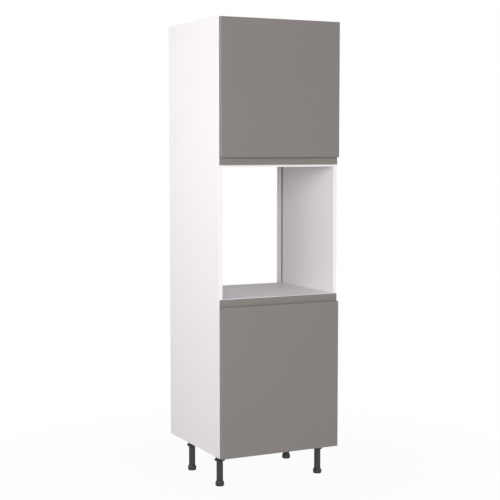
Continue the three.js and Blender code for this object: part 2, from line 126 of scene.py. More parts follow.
@dataclass(frozen=True)
class Grain:
    """Cloudy noise: cells per metre, octaves and the weight of the finer ones."""

    scale: float
    octaves: float = 2.0
    weight: float = 0.5


class Value:
    """A number, colour or vector on a shader socket; numbers take part in sums."""

    def __init__(self, tree: "Tree", socket: bpy.types.NodeSocket | None) -> None:
        """Wraps one output socket of a tree."""
        self.tree = tree
        self.socket = socket

    def beside(self, output: str | int) -> "Value":
        """Another output of the same node."""
        return Value(self.tree, self.socket.node.outputs[output])

    def _math(self, operation: str, *terms: "Value | float") -> "Value":
        """A Math node on terms in order."""
        return self.tree.node("ShaderNodeMath", {"operation": operation}, dict(enumerate(terms)))

    def __add__(self, other: "Value | float") -> "Value":
        """Sum."""
        return self._math("ADD", self, other)

    def __radd__(self, other: float) -> "Value":
        """Sum with a number in front."""
        return self._math("ADD", other, self)

    def __sub__(self, other: "Value | float") -> "Value":
        """Difference."""
        return self._math("SUBTRACT", self, other)

    def __rsub__(self, other: float) -> "Value":
        """Difference from a number."""
        return self._math("SUBTRACT", other, self)

    def __mul__(self, other: "Value | float") -> "Value":
        """Product."""
        return self._math("MULTIPLY", self, other)

    def __rmul__(self, other: float) -> "Value":
        """Product with a number in front."""
        return self._math("MULTIPLY", other, self)

    def distance(self, other: "Value | float") -> "Value":
        """Absolute difference."""
        return self._math("ABSOLUTE", self - other)

    def below(self, limit: "Value | float") -> "Value":
        """1 where the value is below a limit, else 0."""
        return self._math("LESS_THAN", self, limit)

    def above(self, limit: "Value | float") -> "Value":
        """1 where the value is above a limit, else 0."""
        return self._math("GREATER_THAN", self, limit)

    def capped(self) -> "Value":
        """The value held between 0 and 1."""
        return self.tree.node("ShaderNodeClamp", inputs={"Value": self})

    def parts(self) -> tuple["Value", ...]:
        """The three numbers of a vector."""
        split = self.tree.node("ShaderNodeSeparateXYZ", inputs={0: self})
        return tuple(split.beside(index) for index in range(3))

    def stretched(self, scale: Point) -> "Value":
        """A vector scaled along its axes."""
        return self.tree.node("ShaderNodeMapping", inputs={"Vector": self, "Scale": scale})

    def noise(self, grain: Grain) -> "Value":
        """Cloudy noise between 0 and 1, read at a vector."""
        sockets = {"Scale": grain.scale, "Detail": grain.octaves, "Roughness": grain.weight}
        return self.tree.node("ShaderNodeTexNoise", inputs={"Vector": self, **sockets})

    def mixed(self, *colours: "Value | Colour") -> "Value":
        """Mix of two colours, with this number as the share of the second."""
        given = (self, *(colour if isinstance(colour, Value) else (*colour, 1.0) for colour in colours))
        return self.tree.node(
            "ShaderNodeMix", {"data_type": "RGBA"}, dict(zip(MIX_INPUTS, given)), MIX_RESULT)


class Tree:
    """A node tree that is written with calls and sums."""

    def __init__(self, tree: bpy.types.NodeTree) -> None:
        """Starts from an empty tree."""
        self.tree = tree
        tree.nodes.clear()

    def node(
        self, kind: str, settings: Mapping[str, object] | None = None,
        inputs: Mapping[str | int, object] | None = None, output: str | int = 0,
    ) -> Value:
        """Adds a node.

        Args:
            kind: the node's type name.
            settings: its properties, set first.
            inputs: a value or a link for each named or numbered socket.
            output: the output socket to hand back.

        Returns:
            The chosen output; an output node has none.
        """
        made = self.tree.nodes.new(kind)
        for name, setting in (settings or {}).items():
            setattr(made, name, setting)
        for name, given in (inputs or {}).items():
            if isinstance(given, Value):
                self.tree.links.new(given.socket, made.inputs[name])
            else:
                made.inputs[name].default_value = given
        return Value(self, made.outputs[output] if len(made.outputs) else None)

    def place(self) -> Value:
        """Object coordinates of the surface."""
        return self.node("ShaderNodeTexCoord", output="Object")

    def blend(self, share: Value, first: Value, second: Value) -> Value:
        """Mix of two shaders by the share of the second."""
        return self.node("ShaderNodeMixShader", inputs={0: share, 1: first, 2: second})


# Finishes.

Links = dict[str, Value]


@dataclass(frozen=True)
class Finish:
    """A surface finish; each kind fills in its own pattern.

    The tones are two shares of the colour. Spread and gloss set how far the roughness varies and how far
    under its level it starts. Depth and strength are those of the fine relief.
    """

    name: str
    colour: Colour
    roughness: float
    metallic: float = 0.0
    specular: float = 0.5
    tones: Plan = (1.0, 1.0)
    spread: float = 0.08
    gloss: float = 0.04
    depth: float = 0.02 * MM
    strength: float = 0.5

    def toned(self, share: Value) -> Value:
        """The colour between its two tones."""
        return share.mixed(*(tuple(channel * tone for channel in self.colour) for tone in self.tones))

    def uneven(self, marks: Value) -> Value:
        """Roughness that marks between 0 and 1 make uneven."""
        return marks * self.spread + (self.roughness - self.gloss)

    def relief(self, height: Value) -> Value:
        """Normal bumped by a height between 0 and 1."""
        sockets = {"Height": height, "Distance": self.depth, "Strength": self.strength}
        return height.tree.node("ShaderNodeBump", inputs=sockets)

    def links(self, share: Value, marks: Value, height: Value) -> Links:
        """Sockets for a tone between the two, uneven roughness and relief."""
        roughness = self.uneven(marks)
        return {"Base Color": self.toned(share), "Roughness": roughness, "Normal": self.relief(height)}

    def pattern(self, place: Value) -> Links:
        """Sockets that vary with the place on the surface; each kind has its own."""
        raise NotImplementedError

    def fixed(self) -> dict[str, object]:
        """Sockets that are the same all over the surface."""
        return {
            "Base Color": (*self.colour, 1.0),
            "Roughness": self.roughness,
            "Metallic": self.metallic,
            "Specular IOR Level": self.specular,
        }

    def material(self) -> bpy.types.Material:
        """Makes the material once and hands back the same one later.

        Returns:
            The finished material.
        """
        known = bpy.data.materials.get(self.name)
        if known is not None:
            return known
        material = bpy.data.materials.new(self.name)
        material.use_nodes = True
        material.diffuse_color = (*self.colour, 1.0)
        tree = Tree(material.node_tree)
        sockets = {**self.fixed(), **self.pattern(tree.place())}
        surface = tree.node("ShaderNodeBsdfPrincipled", inputs=sockets)
        tree.node("ShaderNodeOutputMaterial", inputs={"Surface": surface})
        return material


@dataclass(frozen=True)
class FacedBoard(Finish):
    """White melamine on chipboard: faint pearl texture, banded front edge, and groove walls in raw board
    whose tone is darkened as painted shade.

    Seam is half the width of the band's joint line, chipped is how far the groove's mouth is frayed, and
    eased is the slack in depth at which the raw board starts and ends.
    """

    tones: Plan = (1.0, 0.985)
    band_colour: Colour = (0.95, 0.922, 0.938)
    joint_colour: Colour = (0.80, 0.795, 0.785)
    joint_share: float = 0.5
    # Raw board tones for the groove and its frayed mouth. Raw chipboard is darker than the melamine, and
    # these tones are darkened much further as painted shade of the groove.
    raw_board_shade_dark: Colour = (0.049, 0.042, 0.0385)
    raw_board_shade_light: Colour = (0.07, 0.06, 0.055)
    chip_shape: Point = (1, 1, 0.5)
    chip_roughness: float = 0.4
    front: float = 0.0
    band: float = 1.0 * MM
    seam: float = 0.12 * MM
    groove_low: float = 0.0
    groove_high: float = 0.0
    inner_face: float = 1.0
    groove_depth: float = 8 * MM
    chipped: float = 1.2 * MM
    chipped_least: float = 0.5
    eased: float = 0.05 * MM
    pearl: Grain = Grain(1400, 3, 0.6)
    cloud: Grain = Grain(5)
    nibble: Grain = Grain(160)
    chips: Grain = Grain(700, 3, 0.7)
    wear: Grain = Grain(60, 3)

    def pattern(self, place: Value) -> Links:
        """Pearl bump, the joint line of the edge band and the raw board inside the groove, its tone darkened
        as painted shade.

        Args:
            place: Object coordinates.

        Returns:
            The sockets that vary.
        """
        x, y, _ = place.parts()
        edge = self.front + self.band
        face = y.below(edge).mixed(self.toned(place.noise(self.cloud)), self.band_colour)
        joint = y.distance(edge).below(self.seam) * self.joint_share
        across = x.distance(0.0)
        start, end = self.inner_face - self.eased, self.inner_face + self.groove_depth + self.eased
        nibbled = self.chipped * (place.noise(self.nibble) + self.chipped_least)
        along = y.above(self.groove_low - nibbled) * y.below(self.groove_high + nibbled)
        inside = along * across.above(start) * across.below(end)
        # Painted shade: the raw board tone inside the groove and at its frayed mouth is darkened to stand for
        # the groove's shadow.
        raw_board_and_shade = place.stretched(self.chip_shape).noise(self.chips).mixed(self.raw_board_shade_dark, self.raw_board_shade_light)
        return {
            "Base Color": inside.mixed(joint.mixed(face, self.joint_colour), raw_board_and_shade),
            "Roughness": self.uneven(place.noise(self.wear)) + inside * self.chip_roughness,
            "Normal": self.relief(place.noise(self.pearl)),
        }


@dataclass(frozen=True)
class MattLacquer(Finish):
    """Sprayed matt lacquer: soft orange peel and a breath of cloudiness."""

    tones: Plan = (0.97, 1.025)
    depth: float = 0.015 * MM
    strength: float = 0.6
    cloud: Grain = Grain(3.2, 3, 0.55)
    fleck: Grain = Grain(900)
    fleck_tone: float = 0.2
    fleck_relief: float = 0.35
    peel: Grain = Grain(420, 2, 0.4)
    wear: Grain = Grain(45)

    def pattern(self, place: Value) -> Links:
        """Orange peel, cloud and slightly uneven sheen."""
        fleck = place.noise(self.fleck)
        return self.links(
            (place.noise(self.cloud) * (1 - self.fleck_tone) + fleck * self.fleck_tone).capped(),
            place.noise(self.wear), place.noise(self.peel) + fleck * self.fleck_relief,
        )


@dataclass(frozen=True)
class MouldedPlastic(Finish):
    """Injection moulded plastic: fine spark texture and handling marks."""

    tones: Plan = (1.0, 1.25)
    spread: float = 0.14
    gloss: float = 0.05
    depth: float = 0.03 * MM
    strength: float = 0.55
    spark: Grain = Grain(1500, 3, 0.65)
    marks: Grain = Grain(38, 3)

    def pattern(self, place: Value) -> Links:
        """Spark-eroded grain with duller patches."""
        marks = place.noise(self.marks)
        return self.links(marks, marks, place.noise(self.spark))


@dataclass(frozen=True)
class PlatedSteel(Finish):
    """Plated steel pressing: rolling streaks and a cloudy plating."""

    metallic: float = 1.0
    tones: Plan = (1.0, 0.86)
    spread: float = 0.14
    gloss: float = 0.08
    depth: float = 0.01 * MM
    strength: float = 0.4
    streak_shape: Point = (60.0, 60.0, 1400.0)
    streaks: Grain = Grain(1, 3, 0.6)
    cloud: Grain = Grain(160, 3)
    cloud_share: float = 3 / 7

    def pattern(self, place: Value) -> Links:
        """Streaks along the strip and an uneven plating tone."""
        streaks, cloud = place.stretched(self.streak_shape).noise(self.streaks), place.noise(self.cloud)
        return self.links(cloud, streaks + cloud * self.cloud_share, streaks)


@dataclass(frozen=True)
class ClearBuffer(Finish):
    """Clear soft polyurethane buffer."""

    spread: float = 0.2
    gloss: float = 0.1
    strength: float = 0.3
    clearness: float = 0.55
    refraction: float = 1.46
    bloom: Grain = Grain(900, 3, 0.6)

    def fixed(self) -> dict[str, object]:
        """Adds the light that passes through."""
        return {**super().fixed(), "Transmission Weight": self.clearness, "IOR": self.refraction}

    def pattern(self, place: Value) -> Links:
        """A dusty bloom on the soft surface."""
        bloom = place.noise(self.bloom)
        return {"Roughness": self.uneven(bloom), "Normal": self.relief(bloom)}


# Mesh work.


class Solid:
    """A mesh object that operators and modifiers shape; it sits at the origin, with its place in its mesh.

    Weld and stray are the gaps that count as none, for a new form and after a cut.
    """

    weld: float = 0.004 * MM
    stray: float = 0.01 * MM
    flat_within: float = math.radians(0.5)

    def __init__(self, thing: bpy.types.Object) -> None:
        """Wraps a mesh object."""
        self.thing = thing

    @staticmethod
    def select(*solids: "Solid") -> None:
        """Selects these solids and nothing else; the first one becomes active."""
        bpy.ops.object.select_all(action="DESELECT")
        for solid in reversed(solids):
            solid.thing.select_set(True)
            bpy.context.view_layer.objects.active = solid.thing

    @staticmethod
    def discard(*solids: "Solid") -> None:
        """Removes tools that have cut and patterns that have been copied to their places."""
        for solid in solids:
            bpy.data.objects.remove(solid.thing, do_unlink=True)

    @classmethod
    def settled(cls) -> "Solid":
        """The active object, with its place put into its mesh."""
        bpy.ops.object.transform_apply(location=True, rotation=True, scale=True)
        return cls(bpy.context.object)

    @classmethod
    def block(cls, low: Sequence[float], high: Sequence[float]) -> "Solid":
        """Block between two corners.

        Args:
            low: lowest corner.
            high: highest corner.

        Returns:
            The block.
        """
        cls.select()
        low, high = Vector(low), Vector(high)
        bpy.ops.mesh.primitive_cube_add(size=1, location=(low + high) / 2, scale=high - low)
        return cls.settled()

    @classmethod
    def crossed(cls, reach: float, half: float, bottom: float, top: float) -> list["Solid"]:
        """Two upright plates that cross on the Z axis, by half length, half thickness and both heights."""
        return [cls.block((-x, -y, bottom), (x, y, top)) for x, y in ((reach, half), (half, reach))]

    @classmethod
    def drum(
        cls, radius: float, start: Sequence[float], length: float, axis: Axis, sides: int = PIN_SIDES
    ) -> "Solid":
        """Straight cylinder.

        Args:
            radius: its radius.
            start: centre of its first end.
            length: its length along the axis.
            axis: the direction it runs in, Y or Z.
            sides: facets round it.

        Returns:
            The cylinder.
        """
        cls.select()
        turn = math.pi / 2 if axis is Axis.Y else 0.0
        bpy.ops.mesh.primitive_cylinder_add(
            vertices=sides, radius=radius, depth=length, location=Vector(start) + axis.step(length / 2),
            rotation=(turn, 0.0, 0.0),
        )
        return cls.settled()

    @classmethod
    def trace(cls, points: Sequence[Vector]) -> None:
        """Draws a line in edit mode: a small plane becomes one vertex, which is extruded from point to point.

        Args:
            points: the places that the line passes, in order.
        """
        cls.select()
        bpy.ops.mesh.primitive_plane_add(size=MM, location=points[0])
        bpy.ops.object.mode_set(mode="EDIT")
        bpy.ops.mesh.select_all(action="SELECT")
        bpy.ops.mesh.merge(type="CENTER")
        for here, there in zip(points, points[1:]):
            bpy.ops.mesh.extrude_region_move(TRANSFORM_OT_translate={"value": there - here})
        bpy.ops.mesh.select_all(action="SELECT")

    @classmethod
    def closed(cls) -> "Solid":
        """Welds the mesh that is being edited and turns its faces outwards.

        Returns:
            The solid, out of edit mode.
        """
        bpy.ops.mesh.select_all(action="SELECT")
        bpy.ops.mesh.remove_doubles(threshold=cls.weld)
        bpy.ops.mesh.normals_make_consistent(inside=False)
        bpy.ops.object.mode_set(mode="OBJECT")
        return cls.settled()

    @classmethod
    def drawn(cls, outline: Sequence[Plan], axis: Axis, start: float, end: float) -> "Solid":
        """Outline filled and drawn out along an axis.

        Args:
            outline: points in the plane of the two other axes, in order of those axes.
            axis: direction of the draw.
            start: where the draw begins.
            end: where it ends.

        Returns:
            The drawn solid.
        """
        first, second = (other for other in Axis if other is not axis)
        cls.trace([axis.step(start) + first.step(a) + second.step(b) for a, b in outline])
        bpy.ops.mesh.edge_face_add()
        bpy.ops.mesh.extrude_region_move(TRANSFORM_OT_translate={"value": axis.step(end - start)})
        return cls.closed()

    @classmethod
    def spun(cls, profile: Sequence[Plan], centre: Point, axis: Axis, steps: int = 56) -> "Solid":
        """Profile spun round an axis.

        Args:
            profile: radius and place along the axis of each point; it runs from axis to axis.
            centre: a point on the axis; the profile's places count from it.
            axis: the axis of the spin.
            steps: facets round it.

        Returns:
            The spun solid.
        """
        side = Axis((axis.value + 1) % 3)
        cls.trace([Vector(centre) + side.step(radius) + axis.step(along) for radius, along in profile])
        bpy.ops.mesh.spin(steps=steps, angle=2 * math.pi, center=centre, axis=axis.step(1.0))
        return cls.closed()

    @classmethod
    def joined(cls, solids: Sequence["Solid"]) -> "Solid":
        """Several solids as one object.

        Args:
            solids: what goes in.

        Returns:
            The first of them, with the others in it.
        """
        cls.select(*solids)
        bpy.ops.object.join()
        return solids[0]

    def copied(self, turn: Matrix) -> "Solid":
        """Copy with its own mesh.

        Args:
            turn: where the copy goes.

        Returns:
            The copy, moved in its mesh.
        """
        copy = bpy.data.objects.new("copy", self.thing.data.copy())
        copy.data.transform(turn)
        bpy.context.collection.objects.link(copy)
        return Solid(copy)

    def applied(self, kind: str, **settings: object) -> "Solid":
        """Works one modifier into the mesh.

        Args:
            kind: the modifier's type.
            settings: its properties.

        Returns:
            The same solid.
        """
        self.select(self)
        modifier = self.thing.modifiers.new(kind, kind)
        for name, setting in settings.items():
            setattr(modifier, name, setting)
        bpy.ops.object.modifier_apply(modifier=modifier.name)
        return self

    def bevelled(self, width: float, segments: int = 2, angle: float = 40) -> "Solid":
        """Rounds the edges that are sharper than an angle in degrees."""
        limit = {"limit_method": "ANGLE", "angle_limit": math.radians(angle)}
        return self.applied("BEVEL", width=width, segments=segments, **limit)

    def carved(self, tools: Iterable["Solid"], carving: Carving = Carving.CUT) -> "Solid":
        """Cuts the solid with others, or joins them to it, and removes them.

        Args:
            tools: the other solids.
            carving: what is kept.

        Returns:
            The same solid.
        """
        for tool in tools:
            self.applied("BOOLEAN", operation=carving.value, solver="EXACT", object=tool.thing)
            self.discard(tool)
        return self.whole()

    def whole(self) -> "Solid":
        """Merges stray points and makes flat areas one face each.

        Returns:
            The same solid.
        """
        self.select(self)
        bpy.ops.object.mode_set(mode="EDIT")
        bpy.ops.mesh.select_all(action="SELECT")
        bpy.ops.mesh.remove_doubles(threshold=self.stray)
        bpy.ops.mesh.dissolve_degenerate(threshold=self.stray)
        bpy.ops.mesh.dissolve_limited(angle_limit=self.flat_within)
        bpy.ops.object.mode_set(mode="OBJECT")
        return self

    def smoothed(self, angle: float = 32) -> "Solid":
        """Shades smooth where faces meet flatter than an angle; large faces stay flat.

        Args:
            angle: the angle in degrees.

        Returns:
            The same solid.
        """
        self.select(self)
        bpy.ops.object.shade_smooth_by_angle(angle=math.radians(angle))
        return self.applied("WEIGHTED_NORMAL", keep_sharp=True)


def arc(
    centre: Plan, radius: float, start: float, end: float, steps: int, rise: float | None = None
) -> list[Plan]:
    """Points on an arc.

    Args:
        centre: its centre.
        radius: its radius.
        start: first angle in degrees.
        end: last angle in degrees.
        steps: gaps between the points.
        rise: its radius along the second axis, where the arc is oval.

    Returns:
        The points, both ends among them.
    """
    tall = radius if rise is None else rise
    angles = [math.radians(start + (end - start) * i / steps) for i in range(steps + 1)]
    return [(centre[0] + radius * math.cos(a), centre[1] + tall * math.sin(a)) for a in angles]


def strap(centre: float, reach: float, radius: float, steps: int) -> list[Plan]:
    """Outline along the second axis, with round ends centred at that reach to both sides."""
    return arc((centre, reach), radius, 0, 180, steps) + arc((centre, -reach), radius, 180, 360, steps)


def bone(first: Plan, last: Plan, radii: Plan, half: float, bends: Sequence[Plan] = ()) -> list[Plan]:
    """Outline of a hinge link in plan: an eye at each end and a bar between them that may bend.

    Args:
        first: centre of one eye.
        last: centre of the other.
        radii: radius of each eye.
        half: half the bar's width.
        bends: where the bar bends on its way.

    Returns:
        The outline.
    """
    path = [first, *bends, last]
    leans = [math.degrees(math.atan2(b[1] - a[1], b[0] - a[0])) for a, b in zip(path, path[1:])]
    sides: dict[int, list[Plan]] = {1: [], -1: []}
    for (u, v), before, after in zip(bends, leans, leans[1:]):
        reach = half / math.cos(math.radians(after - before) / 2)
        across = math.radians((before + after) / 2 + 90)
        for side, corners in sides.items():
            corners.append((u + side * reach * math.cos(across), v + side * reach * math.sin(across)))
    near, far = (math.degrees(math.asin(half / radius)) for radius in radii)
    eye = arc(first, radii[0], leans[0] + near, leans[0] + 360 - near, steps=24)
    other = arc(last, radii[1], leans[-1] - 180 + far, leans[-1] + 180 - far, steps=24)
    return eye + sides[-1] + other + sides[1][::-1]


# Pieces of the unit.


def middle(node: str) -> Vector:
    """Middle of a CAD node's box."""
    low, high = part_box(node)
    return (low + high) / 2


class Palette:
    """Every finish of the unit, at the sizes that the frame gives."""

    groove_half: float = 4.25 * MM

    def __init__(self) -> None:
        """Reads the groove and the front edge from the frame."""
        side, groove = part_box("right_side_panel")[0], middle("lower_back_panel").y
        board = FacedBoard(
            "white_melamine", (0.875, 0.843, 0.862), 0.6, specular=0.2, front=side.y, inner_face=side.x,
            groove_low=groove - self.groove_half, groove_high=groove + self.groove_half,
        )
        self.finishes: dict[Slot, Finish] = {
            Slot.BOARD: board,
            Slot.DOOR: MattLacquer("taupe_lacquer", (0.227, 0.2045, 0.194), 0.5, specular=0.35),
            Slot.LEG: MouldedPlastic("leg_plastic_dark", (0.027, 0.023, 0.0255), 0.42, specular=0.35),
            Slot.NICKEL: PlatedSteel("nickel_plate", (0.66, 0.65, 0.63), 0.28),
            Slot.ZINC: PlatedSteel("zinc_plate", (0.55, 0.57, 0.6), 0.38, streak_shape=(1200.0, 60.0, 60.0)),
            Slot.BUMPER: ClearBuffer("clear_buffer", (0.85, 0.87, 0.88), 0.3),
        }
        spark = Grain(1200, 3, 0.65)
        self.cap = MouldedPlastic("white_cap_plastic", (0.8, 0.795, 0.785), 0.35, spark=spark)


@dataclass
class SubAssembly:
    """Shared work of the sub-assemblies: naming, dressing, riding and reporting."""

    palette: Palette

    def build(self) -> None:
        """Models the pieces; each sub-assembly has its own."""
        raise NotImplementedError

    def add(
        self, solid: Solid, name: str, body: str, slot: Slot, stands_for: Sequence[str] = (),
        finish: Finish | None = None,
    ) -> None:
        """Finishes one modelled piece.

        Args:
            solid: the piece.
            name: its name.
            body: the CAD body that it moves with.
            slot: the record slot that it takes its finish from.
            stands_for: CAD nodes that it replaces.
            finish: its finish where the slot's own isn't right.
        """
        piece = solid.thing
        piece.name = name
        piece.data.name = name
        piece.data.materials.clear()
        piece.data.materials.append((finish or self.palette.finishes[slot]).material())
        if stands_for:
            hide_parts(*stands_for)
        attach(piece, body)
        LOG.info("%s rides on %s", piece.name, body)


@dataclass
class Screw:
    """Cross-head screw: a rounded head with a cross recess; the shank is out of sight in the board.

    Skirt is a share of the rise, taper and recess_reach are shares of the radius, and dome and the two
    turns are in degrees.
    """

    radius: float = 3.6 * MM
    rise: float = 1.4 * MM
    skirt: float = 0.35
    taper: float = 0.98
    dome: Plan = (20, 76)
    dome_steps: int = 4
    recess: float = 0.9 * MM
    recess_width: float = 0.8 * MM
    recess_reach: float = 0.52
    first_turn: float = 17
    next_turn: float = 31

    @cached_property
    def head(self) -> Solid:
        """Pattern head that is modelled once, facing +Z with its seat at z = 0.

        Returns:
            The pattern.
        """
        skirt = self.rise * self.skirt
        profile = [(0.0, 0.0), (self.radius, 0.0), (self.radius * self.taper, skirt)]
        profile += arc((0.0, skirt), self.radius, *self.dome, self.dome_steps, rise=self.rise - skirt)
        profile.append((0.0, self.rise))
        reach, half = self.radius * self.recess_reach, self.recess_width / 2
        recess = Solid.crossed(reach, half, self.rise - self.recess, 2 * self.rise)
        return Solid.spun(profile, ORIGIN, Axis.Z, PIN_SIDES).carved(recess).smoothed()

    def row(self, facing: Point, seats: Sequence[Point]) -> Solid:
        """Sets the head at several places as one solid, each turned differently.

        Args:
            facing: outward direction of the heads.
            seats: where each head sits.

        Returns:
            The group of heads.
        """
        turn = Vector((0, 0, 1)).rotation_difference(Vector(facing)).to_matrix().to_4x4()
        heads = []
        for index, seat in enumerate(seats):
            twist = Matrix.Rotation(math.radians(self.first_turn + self.next_turn * index), 4, "Z")
            heads.append(self.head.copied(Matrix.Translation(seat) @ turn @ twist))
        return Solid.joined(heads)


@dataclass
class Door(SubAssembly):
    """Slab door with a scooped finger pull along one edge.

    Band is how far the face stops short of that edge, and scoop is how far the hollow runs on behind it.
    Lip and skin are the thicknesses behind the hollow and in front of it.
    """

    place: Place
    pull_up: bool
    band: float = 33 * MM
    lip: float = 5.5 * MM
    skin: float = 5 * MM
    scoop: float = 12 * MM
    ease: float = 1.6 * MM
    bore: float = 17.8 * MM
    bore_depth: float = 11.8 * MM
    bore_inset: float = 17.5 * MM
    bore_sides: int = 64
    edge_round: float = 0.8 * MM
    steps: int = 6

    def outline(self, low: Vector, high: Vector) -> list[Plan]:
        """Side profile in (y, z).

        Args:
            low: lowest corner of the CAD door.
            high: its highest corner.

        Returns:
            The outline, front to back.
        """
        front, back, height = low.y, high.y, high.z - low.z
        lip_front, skin_back = back - self.lip, front + self.skin
        face_end = height - self.band
        radius = (lip_front - skin_back) / 2
        deep = face_end - self.scoop + radius
        ease, steps = self.ease, self.steps
        points = [(front, 0.0), (back, 0.0)]
        points += arc((back - ease, height - ease), ease, 0, 90, steps)
        points += arc((lip_front + ease, height - ease), ease, 90, 180, steps)
        points += arc(((lip_front + skin_back) / 2, deep), radius, 0, -180, 4 * steps)
        points += arc((skin_back - ease, face_end - ease), ease, 0, 90, steps)
        points += arc((front + ease, face_end - ease), ease, 90, 180, steps)
        start, way = (low.z, 1) if self.pull_up else (high.z, -1)
        return [(y, start + way * z) for y, z in points]

    def build(self) -> None:
        """Models the leaf, bores it for the cups and hangs it in place of its CAD node."""
        node = f"{self.place.value}_door"
        low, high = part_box(node)
        bores = []
        for level in Level:
            cup = f"{self.place.value}_hinge_cup_{level.value}"
            start = (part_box(cup)[1].x - self.bore_inset, high.y - self.bore_depth, middle(cup).z)
            bores.append(Solid.drum(self.bore, start, 2 * self.bore_depth, Axis.Y, self.bore_sides))
        leaf = Solid.drawn(self.outline(low, high), Axis.X, low.x, high.x).carved(bores)
        leaf.bevelled(self.edge_round, segments=3, angle=50).smoothed()
        self.add(leaf, f"{node}_leaf", f"{node}_leaf", Slot.DOOR, [node])


@dataclass
class Bumpers(SubAssembly):
    """Clear domed buffers on the door backs; flat, foot and skirt are shares of the radius and the rise."""

    flat: float = 0.55
    foot: float = 0.96
    skirt: float = 0.15

    def build(self) -> None:
        """Models one dome and sets it in place of each CAD disc."""
        low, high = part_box("lower_door_bumper_bottom")
        radius, rise = (high.x - low.x) / 2, high.y - low.y
        flat, skirt = radius * self.flat, rise * self.skirt
        profile = [(0.0, 0.0), (radius * self.foot, 0.0), (radius, skirt)]
        profile += arc((flat, skirt), radius - flat, 15, 90, steps=5, rise=rise - skirt) + [(0.0, rise)]
        pattern = Solid.spun(profile, ORIGIN, Axis.Y, steps=32).smoothed(angle=50)
        for place, level in product(Place, Level):
            node = f"{place.value}_door_bumper_{level.value}"
            centre = middle(node)
            dome = pattern.copied(Matrix.Translation((centre.x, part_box(node)[0].y, centre.z)))
            self.add(dome, f"{node}_dome", f"{place.value}_door_leaf", Slot.BUMPER, [node])
        Solid.discard(pattern)


